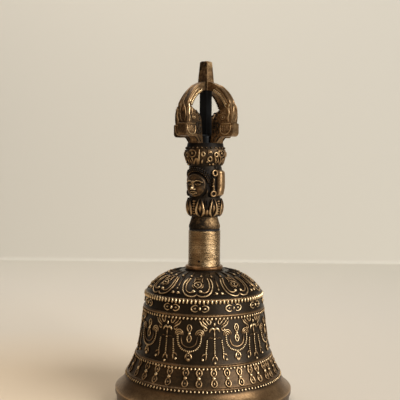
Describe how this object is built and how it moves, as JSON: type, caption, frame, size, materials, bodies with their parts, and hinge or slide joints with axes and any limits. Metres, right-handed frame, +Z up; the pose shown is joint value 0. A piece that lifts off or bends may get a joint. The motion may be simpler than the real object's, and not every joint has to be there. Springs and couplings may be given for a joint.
{
  "type": "tibetan bell",
  "caption": "Bronze ritual hand bell with a half-vajra handle of arched prongs over a crowned head, and a clapper that hangs free inside.",
  "frame": {"origin": "centre of the flat face that the lip rests on", "axes": "+Z up along the bell's axis to the tip of the handle; the face on the handle looks to -Y and the four side prongs stand at -Y, +X, +Y and -X"},
  "size_m": [0.09, 0.09, 0.174],
  "materials": {
    "bell_bronze": "antiqued bronze, dark in the recesses and rubbed bright on the relief",
    "handle_bronze": "antiqued cast bronze, rubbed on the high points",
    "turned_brass": "satin, with fine turning lines",
    "copper_ring": "reddish copper alloy, worn",
    "black_iron": "blackened, dull",
    "clapper_bronze": "cast, dark, bright where it strikes",
    "dark_lac": "dark pitch or lac"
  },
  "bodies": {
    "bell": {"bell_shell": "bell_bronze", "seat_ring": "copper_ring", "sleeve": "turned_brass", "lac_fill": "dark_lac", "sleeve_pin": "black_iron", "core_rod": "black_iron", "foot_collar": "handle_bronze", "petal_ring": "handle_bronze", "head": "handle_bronze", "crown": "handle_bronze", "front_prong": "handle_bronze", "right_prong": "handle_bronze", "back_prong": "handle_bronze", "left_prong": "handle_bronze", "prong_tip": "handle_bronze", "crown_washer": "black_iron", "crown_nut": "black_iron", "clapper_hanger": "black_iron", "hanger_pin": "black_iron"},
    "link": {"clapper_link": "black_iron"},
    "clapper": {"clapper_shank": "black_iron", "clapper_ball": "clapper_bronze"}
  },
  "joints": [
    {"name": "link_swing", "type": "hinge", "parent": "bell", "child": "link", "pos_m": [0, 0, 0.052], "axis": [0, 1, 0], "range_deg": [-41, 41]},
    {"name": "clapper_swing", "type": "hinge", "parent": "link", "child": "clapper", "pos_m": [0, 0, 0.047], "axis": [1, 0, 0], "range_deg": [-10, 10]}
  ]
}
